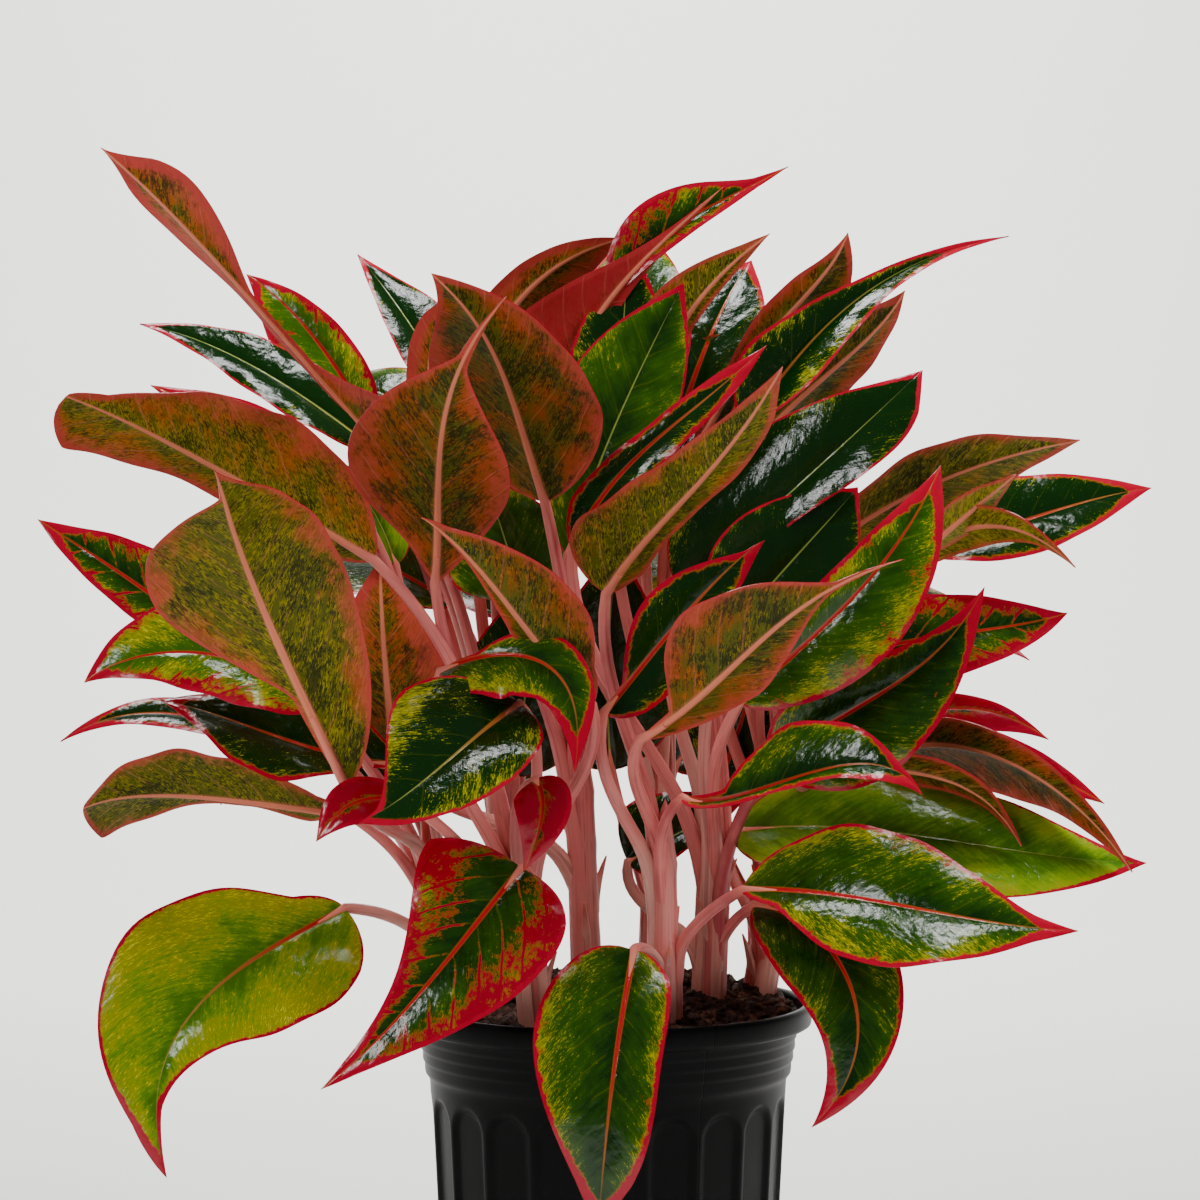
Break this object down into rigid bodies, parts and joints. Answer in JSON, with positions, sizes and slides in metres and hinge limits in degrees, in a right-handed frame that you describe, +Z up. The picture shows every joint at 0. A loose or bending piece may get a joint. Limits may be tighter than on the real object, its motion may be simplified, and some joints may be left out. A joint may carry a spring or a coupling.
{
  "type": "potted chinese evergreen",
  "caption": "Bushy foliage plant with broad red-edged leaves on pink stems, standing in dark mix in a round fluted nursery pot with a rolled rim.",
  "frame": {"origin": "centre of the pot's flat underside, on the surface the pot stands on", "axes": "+Z up, -Y towards the viewer of the picture, +X to the viewer's right"},
  "size_m": [0.6089, 0.501, 0.6774],
  "materials": {
    "pot": "moulded near-black polyethylene, satin",
    "potting_mix": null,
    "leaves": null,
    "stalks": null
  },
  "bodies": {
    "root": {"pot": "pot", "potting_mix": "potting_mix", "stem_left": "leaves", "stem_front_left": "leaves", "stem_middle": "leaves", "stem_front_right": "leaves", "stem_right": "leaves", "stem_far_right": "leaves", "stem_back_left": "leaves", "stem_back_right": "leaves"}
  },
  "joints": []
}
